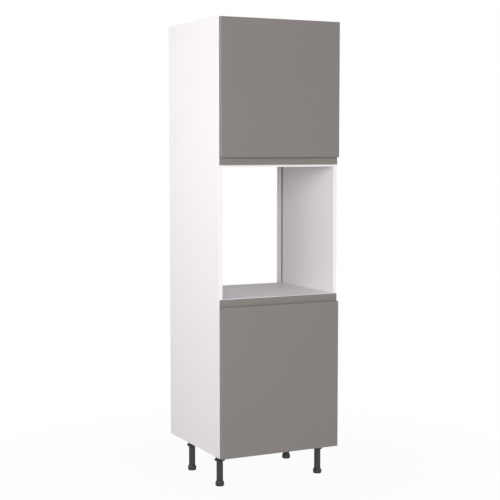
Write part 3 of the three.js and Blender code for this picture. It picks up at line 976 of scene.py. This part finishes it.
@dataclass
class Leg(SubAssembly):
    """Adjustable leg at each corner: ribbed socket, flanged tube with slits, and a screw foot.

    Soft is the size of a rounding, and larger ones are multiples of it. Thread_shape holds shares of the
    pitch: where the crest begins and ends, and where the flank meets the stem again.
    """

    screw: Screw
    plate: float = 3.5 * MM
    collar: float = 18.6 * MM
    rib: float = 2.4 * MM
    rib_reach: float = 28 * MM
    rib_start: float = 5 * MM
    rib_ease: float = 0.3 * MM
    radius: float = 15 * MM
    bore: float = 12.4 * MM
    play: float = 0.3 * MM
    flange_top: float = 124 * MM
    flange: float = 6 * MM
    flare: float = 6 * MM
    slit: float = 2.4 * MM
    slit_height: float = 20 * MM
    base: float = 18.6 * MM
    shoulder: float = 15.4 * MM
    shoulder_start: float = 17 * MM
    shoulder_end: float = 25 * MM
    stem: float = 9.4 * MM
    thread: float = 1.3 * MM
    pitch: float = 3 * MM
    thread_shape: Point = (0.3, 0.5, 0.8)
    grips: int = 8
    grip: float = 4 * MM
    grip_depth: float = 1.2 * MM
    soft: float = 0.8 * MM

    def build(self) -> None:
        """Models one leg and sets a copy, with its screws, at each corner."""
        patterns = {"socket": self.model_socket(), "tube": self.model_tube(), "foot": self.model_foot()}
        screws = self.model_screws()
        for corner in ("front_left", "front_right", "rear_left", "rear_right"):
            centre = middle(f"leg_tube_{corner}")
            step = Matrix.Translation((centre.x, centre.y, 0.0))
            for part, pattern in patterns.items():
                node = f"leg_{part}_{corner}"
                body = node if part == "foot" else "carcass"
                self.add(pattern.copied(step), f"leg_{part}_body_{corner}", body, Slot.LEG, [node])
            self.add(screws.copied(step), f"leg_socket_screws_{corner}", "carcass", Slot.ZINC)
        Solid.discard(*patterns.values(), screws)

    @staticmethod
    def measured(part: str) -> Point:
        """Lower end, upper end and radius of a CAD piece of the first leg."""
        low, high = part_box(f"leg_{part}_front_left")
        return low.z, high.z, (high.x - low.x) / 2

    def model_screws(self) -> Solid:
        """Four screws in the fixing plate, between its ribs.

        Returns:
            The pattern group.
        """
        _, top, _ = self.measured("socket")
        reach = (self.collar + self.rib_reach) / 2 + self.soft
        sides = ((1, 0), (-1, 0), (0, 1), (0, -1))
        return self.screw.row((0, 0, -1), [(reach * x, reach * y, top - self.plate) for x, y in sides])

    def model_socket(self) -> Solid:
        """Fixing plate with a collar and four ribs, round the leg's axis at x = y = 0.

        Returns:
            The pattern socket.
        """
        low, top, rim = self.measured("socket")
        hole, roof = self.radius + self.play, self.measured("tube")[1] + self.play
        under, soft, collar = top - self.plate, self.soft, self.collar
        profile = [(0.0, roof), (hole, roof), (hole, low + soft), (hole + soft, low), (collar - soft, low)]
        profile += [(collar, low + soft), (collar, under - 4 * soft), (collar + soft, under - 1.5 * soft)]
        profile += [(collar + 3 * soft, under), (rim - soft, under), (rim, under + soft)]
        profile += [(rim, top), (0.0, top)]
        pieces = [Solid.spun(profile, ORIGIN, Axis.Z)]
        web = [(collar - soft, low + self.rib_start), (collar, low + self.rib_start)]
        web += [(self.rib_reach, under - soft), (self.rib_reach, under + soft), (collar - soft, under + soft)]
        rib = Solid.drawn(web, Axis.Y, -self.rib / 2, self.rib / 2).bevelled(self.rib_ease)
        for quarter in range(4):
            pieces.append(rib.copied(Matrix.Rotation(math.radians(45 + 90 * quarter), 4, "Z")))
        Solid.discard(rib)
        return Solid.joined(pieces).smoothed()

    def model_tube(self) -> Solid:
        """Tube with a flared flange near its top and crossed slits in its open end.

        Returns:
            The pattern tube.
        """
        low, high, rim = self.measured("tube")
        radius, soft, top = self.radius, self.soft, self.flange_top
        under = top - self.flange
        neck = under - self.flare
        profile = [(0.0, under), (self.bore, under), (self.bore, low + soft), (self.bore + soft, low)]
        profile += [(radius - soft, low), (radius, low + soft), (radius, neck)]
        profile += [(radius + soft, neck + 1.5 * soft), (rim - soft, under), (rim, under + soft)]
        profile += [(rim, top - soft), (rim - soft, top), (radius, top)]
        profile += [(radius, high - soft), (radius - soft, high), (0.0, high)]
        slits = Solid.crossed(radius + soft, self.slit / 2, low - soft, low + self.slit_height)
        return Solid.spun(profile, ORIGIN, Axis.Z).carved(slits).smoothed()

    def model_foot(self) -> Solid:
        """Screw foot with a sloping shoulder, finger grips and a threaded stem.

        Returns:
            The pattern foot.
        """
        _, tip, rim = self.measured("foot")
        top, soft, base, stem = self.measured("tube")[0] - self.play, self.soft, self.base, self.stem
        shoulder, start, end = self.shoulder, self.shoulder_start, self.shoulder_end
        profile = [(0.0, soft), (base - 5 * soft, soft), (base - 4 * soft, 0.0), (base - soft, 0.0)]
        profile += [(base, soft / 2), (rim - soft / 2, 3 * soft), (rim, 4.5 * soft), (rim, start)]
        profile += [(rim - soft / 2, start + soft), (shoulder + soft, end - soft), (shoulder, end)]
        profile += [(shoulder, top - soft / 2), (shoulder - soft / 2, top), (stem, top)]
        rise, crest = top + self.pitch, stem + self.thread
        while rise < tip - 2 * self.pitch:
            ring = zip((crest, crest, stem), self.thread_shape)
            profile += [(stem, rise)] + [(radius, rise + self.pitch * share) for radius, share in ring]
            rise += self.pitch
        profile += [(stem, tip - soft), (stem - soft, tip), (0.0, tip)]
        reach = rim + self.grip - self.grip_depth
        cutters = []
        for index in range(self.grips):
            angle = (index + 0.5) * 2 * math.pi / self.grips
            spot = (reach * math.cos(angle), reach * math.sin(angle), 4 * soft)
            cutters.append(Solid.drum(self.grip, spot, end, Axis.Z, sides=32))
        return Solid.spun(profile, ORIGIN, Axis.Z, steps=64).carved(cutters).smoothed()


@dataclass(frozen=True)
class Pivot:
    """Pivot of a hinge: its place in plan and the radius of its pin."""

    at: Plan
    pin: float


@dataclass
class CupHinge(SubAssembly):
    """Concealed hinge with crossed links, modelled once in plan and set at four places.

    Plan places are (u, v): u across from the side panel's inner face, v in depth from the door's back.
    The pairs of halves are the near and far face of a cheek, from the hinge's middle height.
    """

    screw: Screw
    arm_outer: Pivot = Pivot((-34 * MM, 9 * MM), 1.2 * MM)
    arm_inner: Pivot = Pivot((-19.2 * MM, -6.5 * MM), 1.2 * MM)
    cup_outer: Pivot = Pivot((0.2 * MM, -3 * MM), 1 * MM)
    cup_inner: Pivot = Pivot((-0.9 * MM, -6.5 * MM), 0.9 * MM)
    cup_u: float = -6.5 * MM
    cup: float = 17.5 * MM
    cup_depth: float = 11.5 * MM
    cup_inner_radius: float = 16.5 * MM
    cup_soft: float = 0.6 * MM
    cup_sides: int = 72
    rim: float = 19 * MM
    rim_depth: float = 1 * MM
    rim_cut: float = 1.5 * MM
    ear: float = 24 * MM
    ear_radius: float = 6 * MM
    ear_shift: float = 6 * MM
    pocket: float = 7 * MM
    pocket_left: float = 21.5 * MM
    pocket_right: float = 9.5 * MM
    inner_half: float = 3 * MM
    arm_halves: Plan = (3.3 * MM, 4.8 * MM)
    outer_halves: Plan = (5.1 * MM, 6.6 * MM)
    loose: float = 1.05 * MM
    play: float = 0.3 * MM
    nose: float = 1.9 * MM
    sag: float = 8.5 * MM
    bends: Plan = (-15 * MM, -7 * MM)
    outer_eyes: Plan = (2.8 * MM, 2.2 * MM)
    outer_bar: float = 1.3 * MM
    inner_eyes: Plan = (2.4 * MM, 3 * MM)
    inner_bar: float = 1.1 * MM
    rivet_rise: float = 0.7 * MM
    rivet_lip: float = 0.5 * MM
    plate: float = 2 * MM
    plate_span: Plan = (24 * MM, 64 * MM)
    plate_half: float = 7 * MM
    wing_centre: float = 39 * MM
    wing: float = 16 * MM
    wing_radius: float = 5.5 * MM
    boss_rise: float = 7 * MM
    boss_half: float = 3 * MM
    boss_inset: float = 4 * MM
    arm_rear: float = 68 * MM
    arm_rise: float = 14 * MM
    arm_web: float = 1.2 * MM
    arm_eye: float = 3.6 * MM
    arm_eye_span: Plan = (130, 252)
    arm_screw_inset: float = 7 * MM
    knees: Plan = (16 * MM, 30 * MM)
    shoulder: float = 4 * MM
    throat: float = 2 * MM
    fine: float = 0.25 * MM

    def build(self) -> None:
        """Models the five kinds of piece and their screws, and sets copies at the four hinges."""
        patterns = {
            "cup": self.model_cup(),
            "outer_link": self.model_outer_link(),
            "inner_link": self.model_inner_link(),
            "arm": self.model_arm(),
            "plate": self.model_plate(),
        }
        screws = {kind: self.screw.row(facing, seats) for kind, (facing, seats) in self.seats().items()}
        groups = {"cup": "door_leaf", "outer_link": "outer_links", "inner_link": "inner_links"}
        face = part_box("right_side_panel")[0].x
        for place, level in product(Place, Level):
            bodies = {kind: f"{place.value}_{group}" for kind, group in groups.items()}
            height = middle(f"{place.value}_hinge_cup_{level.value}").z
            step = Matrix.Translation((face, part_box(f"{place.value}_door")[1].y, height))
            for kind, pattern in patterns.items():
                node, body = f"{place.value}_hinge_{kind}_{level.value}", bodies.get(kind, "carcass")
                self.add(pattern.copied(step), f"{node}_fine", body, Slot.NICKEL, [node])
            for kind, pattern in screws.items():
                name, body = f"{place.value}_hinge_{kind}_screws_{level.value}", bodies.get(kind, "carcass")
                self.add(pattern.copied(step), name, body, Slot.NICKEL)
        Solid.discard(*patterns.values(), *screws.values())

    def seats(self) -> dict[str, tuple[Point, list[Point]]]:
        """Screws of one hinge.

        Returns:
            Which way the screws in each kind of piece face, and where they sit.
        """
        ear, inset, sides = self.cup_u - self.ear_shift, self.arm_screw_inset, (-1, 1)
        along = (self.knees[1] + inset, self.arm_rear - inset)
        return {
            "cup": ((0, 1, 0), [(ear, self.rim_depth, side * self.ear) for side in sides]),
            "plate": ((-1, 0, 0), [(-self.plate, self.wing_centre, side * self.wing) for side in sides]),
            "arm": ((-1, 0, 0), [(-self.arm_rise, v, 0.0) for v in along]),
        }

    def flat(self, outline: Sequence[Plan], faces: Plan, holes: Mapping[Plan, float]) -> Solid:
        """Flat piece of the linkage with pivot holes and eased edges.

        Args:
            outline: its outline in plan.
            faces: heights of its two faces, in either order.
            holes: radius of the hole at each place in plan.

        Returns:
            The piece.
        """
        low, high = sorted(faces)
        start, length = low - MM, high - low + 2 * MM
        drills = [Solid.drum(radius, (*spot, start), length, Axis.Z) for spot, radius in holes.items()]
        return Solid.drawn(outline, Axis.Z, low, high).carved(drills).bevelled(self.fine)

    def cheeks(self, outline: Sequence[Plan], halves: Plan, hole: Mapping[Plan, float]) -> list[Solid]:
        """Two like flat pieces, one on each side of the hinge's middle height."""
        return [self.flat(outline, (side * halves[0], side * halves[1]), hole) for side in (-1, 1)]

    def model_cup(self) -> Solid:
        """Cup with its eared rim, link pocket and pivot pins.

        Returns:
            The pattern cup.
        """
        soft, bottom, brim, sides = self.cup_soft, -self.cup_depth, self.rim_depth, self.cup_sides
        profile = [(0.0, bottom), (self.cup - 2 * soft, bottom), (self.cup, bottom + 2 * soft)]
        profile += [(self.cup, 0.0), (self.rim, 0.0), (self.rim, brim - self.fine)]
        profile += [(self.rim - soft, brim), (0.0, brim)]
        outline = strap(self.cup_u - self.ear_shift, self.ear, self.ear_radius, steps=20)
        ears = Solid.drawn(outline, Axis.Y, 0.0, brim).bevelled(self.fine)
        cup = Solid.spun(profile, (self.cup_u, 0.0, 0.0), Axis.Y, sides).carved([ears], Carving.JOIN)
        reach, deep = self.ear + self.ear_radius, brim - self.cup_depth
        spare = Solid.block((-self.rim_cut, -MM, -reach), (reach, 2 * brim, reach))
        half, length = self.pocket, self.cup_depth - deep
        room = Solid.block((-self.pocket_left - MM, deep, -half), (self.pocket_right, self.cup_depth, half))
        hollow = Solid.drum(self.cup_inner_radius, (self.cup_u, deep, 0.0), length, Axis.Y, sides)
        cup.carved([spare, hollow.carved([room], Carving.SHARED)])
        near, far = self.outer_halves[0], half + brim
        pins = ((self.cup_outer, -far, -near), (self.cup_outer, near, far), (self.cup_inner, -far, far))
        for pivot, low, high in pins:
            cup.carved([Solid.drum(pivot.pin, (*pivot.at, low), high - low, Axis.Z)], Carving.JOIN)
        return cup.smoothed()

    def model_outer_link(self) -> Solid:
        """Two cheeks with eyes, joined by the riveted pin at the arm.

        Returns:
            The pattern link.
        """
        arm, cup, wide = self.arm_outer, self.cup_outer, self.outer_halves[1]
        outline = bone(arm.at, cup.at, self.outer_eyes, self.outer_bar)
        half = [(arm.pin, wide), (arm.pin + self.rivet_lip, wide)]
        half += [(arm.pin, wide + self.rivet_rise), (0.0, wide + self.rivet_rise)]
        profile = [(radius, -rise) for radius, rise in reversed(half)] + half
        cheeks = self.cheeks(outline, self.outer_halves, {cup.at: cup.pin + self.play})
        rivet = Solid.spun(profile, (*arm.at, 0.0), Axis.Z, PIN_SIDES)
        return Solid.joined([*cheeks, rivet]).smoothed()

    def model_inner_link(self) -> Solid:
        """Dog-leg bar with an eye at the arm and a loose eye at the cup.

        Returns:
            The pattern link.
        """
        arm, cup, half = self.arm_inner, self.cup_inner, self.inner_half
        bends = [(bend, -self.sag) for bend in self.bends]
        outline = bone(arm.at, cup.at, self.inner_eyes, self.inner_bar, bends)
        holes = {arm.at: arm.pin + self.play, cup.at: cup.pin + self.loose}
        return self.flat(outline, (-half, half), holes).smoothed()

    def model_arm(self) -> Solid:
        """Channel over the plate whose cheeks reach out to the two link pins.

        Returns:
            The pattern arm.
        """
        outer, (u, v), wide = self.arm_outer, self.arm_inner.at, self.arm_halves[1]
        (knee_near, knee_far), rear, rise = self.knees, self.arm_rear, self.arm_rise
        outline = arc((u, v), self.nose, 180, 360, steps=14) + [(u + self.nose, self.shoulder)]
        outline += [(-self.shoulder, knee_near), (-self.plate, self.plate_span[0]), (-self.plate, rear)]
        outline += [(-rise, rear), (-rise, knee_far)]
        outline += arc(outer.at, self.arm_eye, *self.arm_eye_span, steps=14)
        outline.append((u - self.nose, self.throat))
        pieces = self.cheeks(outline, self.arm_halves, {outer.at: outer.pin + self.play})
        web = Solid.block((-rise, knee_far, -wide), (self.arm_web - rise, rear, wide))
        pieces.append(web.bevelled(2 * self.fine, segments=3))
        pieces.append(Solid.drum(self.arm_inner.pin, (u, v, -wide), 2 * wide, Axis.Z))
        return Solid.joined(pieces).smoothed()

    def model_plate(self) -> Solid:
        """Cross-shaped mounting plate with the boss that the arm clips over.

        Returns:
            The pattern plate.
        """
        (front, rear), thick, inset, half = self.plate_span, self.plate, self.boss_inset, self.boss_half
        strip = Solid.block((-thick, front, -self.plate_half), (0.0, rear, self.plate_half))
        outline = strap(self.wing_centre, self.wing, self.wing_radius, steps=18)
        strip.carved([Solid.drawn(outline, Axis.X, -thick, 0.0)], Carving.JOIN)
        boss = Solid.block((-thick - self.boss_rise, front + inset, -half), (-thick / 2, rear - inset, half))
        return Solid.joined([piece.bevelled(2 * self.fine, segments=3) for piece in (strip, boss)]).smoothed()


@dataclass
class ShelfPins(SubAssembly):
    """Plated shelf pins: a peg in the panel, a collar and a ribbed tongue that carries the shelf."""

    peg: float = 2.5 * MM
    peg_depth: float = 10.7 * MM
    collar: float = 4 * MM
    collar_width: float = 1.2 * MM
    tongue: float = 11 * MM
    tongue_half: float = 4 * MM
    tongue_corner: float = 1.6 * MM
    tongue_thickness: float = 2.4 * MM
    soft: float = 0.4 * MM

    def build(self) -> None:
        """Models one pin and sets it at the eight places."""
        pattern = self.model()
        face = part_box("right_side_panel")[0].x
        hands = {"left": (-face, 0.0), "right": (face, math.pi)}
        for place, end, hand in product(Place, ("front", "rear"), hands):
            node, (x, turn) = f"{place.value}_shelf_pin_{end}_{hand}", hands[hand]
            spot = (x, middle(node).y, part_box(f"{place.value}_loose_shelf")[0].z)
            pin = pattern.copied(Matrix.Translation(spot) @ Matrix.Rotation(turn, 4, "Z"))
            self.add(pin, f"{node}_fine", "carcass", Slot.NICKEL, [node])
        Solid.discard(pattern)

    def model(self) -> Solid:
        """Models the pin against a face at x = 0, with the shelf's underside at z = 0.

        Returns:
            The pattern pin.
        """
        soft, thick, deep, wide = self.soft, self.tongue_thickness, -self.peg_depth, self.collar_width
        shank = [(0.0, deep), (self.peg - soft, deep), (self.peg, deep + soft), (self.peg, wide / 2)]
        shank.append((0.0, wide / 2))
        disc = [(0.0, 0.0), (self.collar, 0.0), (self.collar, wide - soft), (self.collar - soft, wide)]
        disc.append((0.0, wide))
        half, corner, centre = self.tongue_half, self.tongue_corner, self.tongue / 2
        end = self.tongue - corner
        plan = [(0.0, half), (0.0, -half)] + arc((end, corner - half), corner, -90, 0, steps=6)
        plan += arc((end, half - corner), corner, 0, 90, steps=6)
        gusset = [(0.0, -self.collar), (0.0, -thick / 2), (centre, -thick / 2), (centre, -thick)]
        return Solid.joined([
            Solid.spun(shank, (0, 0, -thick / 2), Axis.X, steps=32),
            Solid.spun(disc, (0, 0, -self.collar), Axis.X, steps=40),
            Solid.drawn(plan, Axis.Z, -thick, 0.0).bevelled(soft, segments=3),
            Solid.drawn(gusset, Axis.Y, -thick / 2, thick / 2).bevelled(soft / 2),
        ]).smoothed()


@dataclass
class Carcass(SubAssembly):
    """Boards and brackets with eased edges, caps over the cam fittings and the bracket screws.

    Cap_chamfer and dish_floor are shares of the cap's rise, and dish holds two shares of its radius.
    """

    screw: Screw
    cap: float = 8.5 * MM
    cap_rise: float = 0.8 * MM
    cap_chamfer: float = 0.6
    cap_side: float = 34 * MM
    cap_front: float = 60 * MM
    dish: Plan = (0.8, 0.74)
    dish_floor: float = 0.8
    easing: float = 0.4 * MM
    bracket_sheet: float = 2 * MM
    bracket_screws: Plan = (8 * MM, 22 * MM)
    brackets: tuple[str, ...] = ("wall_bracket_left", "wall_bracket_right")
    capped_boards: tuple[str, ...] = ("oven_shelf", "oven_top_panel", "top_panel")
    boards: tuple[str, ...] = (
        "left_side_panel", "right_side_panel", "base_panel", "oven_shelf", "oven_top_panel", "top_panel",
        "lower_back_panel", "upper_back_panel", "wall_fixing_rail", "lower_loose_shelf", "upper_loose_shelf",
    )

    def build(self) -> None:
        """Eases the CAD boards and brackets and adds caps and bracket screws."""
        for names, slot in ((self.boards, Slot.BOARD), (self.brackets, Slot.ZINC)):
            for name in names:
                made = Solid(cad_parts[name]).copied(Matrix.Identity(4)).whole()
                made.bevelled(self.easing, angle=30).smoothed()
                self.add(made, f"{name}_eased", "carcass", slot, [name])
        self.add_caps()
        self.add_bracket_screws()

    def add_caps(self) -> None:
        """Push-in caps under the ends of the fixed boards."""
        radius, rise, chamfer = self.cap, self.cap_rise, self.cap_rise * self.cap_chamfer
        dish, floor = [radius * share for share in self.dish], -rise * self.dish_floor
        profile = [(0.0, 0.0), (radius, 0.0), (radius, chamfer - rise), (radius - chamfer, -rise)]
        profile += [(dish[0], -rise), (dish[1], floor), (0.0, floor)]
        cap = Solid.spun(profile, ORIGIN, Axis.Z, steps=40)
        for board in self.capped_boards:
            low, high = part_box(board)
            spots = product(
                (low.x + self.cap_side, high.x - self.cap_side),
                (low.y + self.cap_front, high.y - self.cap_front), (low.z,),
            )
            caps = Solid.joined([cap.copied(Matrix.Translation(spot)) for spot in spots]).smoothed(angle=50)
            self.add(caps, f"{board}_cam_caps", "carcass", Slot.BOARD, finish=self.palette.cap)
        Solid.discard(cap)

    def add_bracket_screws(self) -> None:
        """Two screws in each wall bracket's leg on the side panel."""
        for hand, side in (("left", -1), ("right", 1)):
            low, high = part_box(f"wall_bracket_{hand}")
            face = (high.x if side > 0 else low.x) - side * self.bracket_sheet
            seats = [(face, low.y + step, (low.z + high.z) / 2) for step in self.bracket_screws]
            screws = self.screw.row((-side, 0, 0), seats)
            self.add(screws, f"wall_bracket_screws_{hand}", "carcass", Slot.ZINC)


# Light, ground and camera.


@dataclass(frozen=True)
class Lamp:
    """A softbox with its side in metres and its watts, or a distant light with its width in degrees."""

    name: str
    kind: Glow
    spot: Point
    size: float
    strength: float
    target: Point = ORIGIN

    def hang(self) -> None:
        """Hangs the lamp and turns it to what it lights."""
        data = bpy.data.lights.new(self.name, self.kind.value)
        data.energy = self.strength
        if self.kind is Glow.SOFTBOX:
            data.size = self.size
        else:
            data.angle = math.radians(self.size)
        lamp = bpy.data.objects.new(self.name, data)
        lamp.location = self.spot
        lamp.rotation_euler = (Vector(self.target) - Vector(self.spot)).to_track_quat("-Z", "Y").to_euler()
        bpy.context.collection.objects.link(lamp)


@dataclass
class Studio:
    """White ground, soft lights and the camera at the photograph's viewpoint."""

    eye: Point = (-2.5936, -5.2099, 1.5370)
    yaw: float = 26.345
    pitch: float = 4.713
    focal_pixels: float = 1237.9
    frame_pixels: float = 500.0
    sensor: float = 36.0
    sight: float = 100.0
    sky: float = 0.13
    ground: float = 60.0
    ground_gap: float = 0.5 * MM
    ground_grey: float = 0.6
    floor_near: float = 0.955
    floor_far: float = 1.0
    pool: float = 1.6
    lamps: tuple[Lamp, ...] = (
        Lamp("side_front", Glow.SOFTBOX, (-2.6, -1.4, 2.0), 1.2, 26.5, (-0.3, -0.2, 1.7)),
        Lamp("side_rear", Glow.SOFTBOX, (-2.6, 0.0, 1.9), 1.2, 22, (-0.3, -0.1, 1.6)),
        Lamp("above", Glow.SOFTBOX, (0.0, 0.0, 3.3), 0.6, 5, (0.0, 0.0, 2.1)),
        Lamp("low_front", Glow.SOFTBOX, (0.4, -2.6, 0.5), 0.8, 6, (0.05, -0.3, 0.4)),
        Lamp("front_left", Glow.DISTANT, (-0.5, -1.0, 0.06), 40, 2.4),
        Lamp("front_right", Glow.DISTANT, (0.75, -1.0, 0.45), 40, 0.4),
        Lamp("rear_right", Glow.DISTANT, (1.0, 0.85, 0.0), 30, 1.4),
    )

    def build(self) -> None:
        """Sets the stage."""
        self.camera()
        self.world()
        self.floor()
        for lamp in self.lamps:
            lamp.hang()
        bpy.context.scene.view_settings.view_transform = "Standard"

    def camera(self) -> None:
        """Camera with the photograph's viewpoint and field of view."""
        data = bpy.data.cameras.new("camera")
        data.sensor_width = self.sensor
        data.lens = self.focal_pixels / self.frame_pixels * self.sensor
        data.clip_end = self.sight
        eye = bpy.data.objects.new("camera", data)
        eye.location = self.eye
        eye.rotation_euler = (math.radians(90 - self.pitch), 0, math.radians(-self.yaw))
        bpy.context.collection.objects.link(eye)
        bpy.context.scene.camera = eye

    @staticmethod
    def seen(tree: Tree) -> Value:
        """1 for rays that show the surroundings themselves, in the picture or in gloss and glass."""
        path = tree.node("ShaderNodeLightPath", output="Is Camera Ray")
        return (path + path.beside("Is Glossy Ray") + path.beside("Is Transmission Ray")).capped()

    def world(self) -> None:
        """White surroundings that light the object more softly than they look."""
        world = bpy.data.worlds.new("surroundings")
        world.use_nodes = True
        bpy.context.scene.world = world
        tree = Tree(world.node_tree)
        lit, shown = (tree.node("ShaderNodeBackground", inputs={"Color": WHITE, "Strength": strength})
                      for strength in (self.sky, 1.0))
        tree.node("ShaderNodeOutputWorld", inputs={"Surface": tree.blend(self.seen(tree), lit, shown)})

    def floor(self) -> None:
        """Pale floor that keeps a breath of the object's shadow."""
        Solid.select()
        bpy.ops.mesh.primitive_plane_add(size=self.ground, location=(0, 0, -self.ground_gap))
        floor = bpy.context.object
        floor.name = "floor"
        material = bpy.data.materials.new("floor_white")
        material.use_nodes = True
        tree = Tree(material.node_tree)
        matt = tree.node("ShaderNodeBsdfDiffuse", inputs={"Color": (*[self.ground_grey] * 3, 1.0)})
        glow = tree.node("ShaderNodeEmission", inputs={"Color": WHITE, "Strength": 1.0})
        x, y, _ = tree.place().parts()
        away = ((x * x + y * y) * (1 / self.pool**2)).capped()
        share = self.seen(tree) * (away * (self.floor_far - self.floor_near) + self.floor_near)
        tree.node("ShaderNodeOutputMaterial", inputs={"Surface": tree.blend(share, matt, glow)})
        floor.data.materials.append(material)


def main() -> None:
    """Builds the looks in order."""
    logging.basicConfig(level=logging.INFO, format="%(message)s")
    palette = Palette()
    screw = Screw()
    Studio().build()
    assemblies: list[SubAssembly] = [
        Carcass(palette, screw),
        Door(palette, Place.LOWER, pull_up=True),
        Door(palette, Place.UPPER, pull_up=False),
        Bumpers(palette),
        Leg(palette, screw),
        ShelfPins(palette),
        CupHinge(palette, screw),
    ]
    for assembly in assemblies:
        assembly.build()
    Solid.discard(screw.head)


if __name__ == "__main__":
    main()
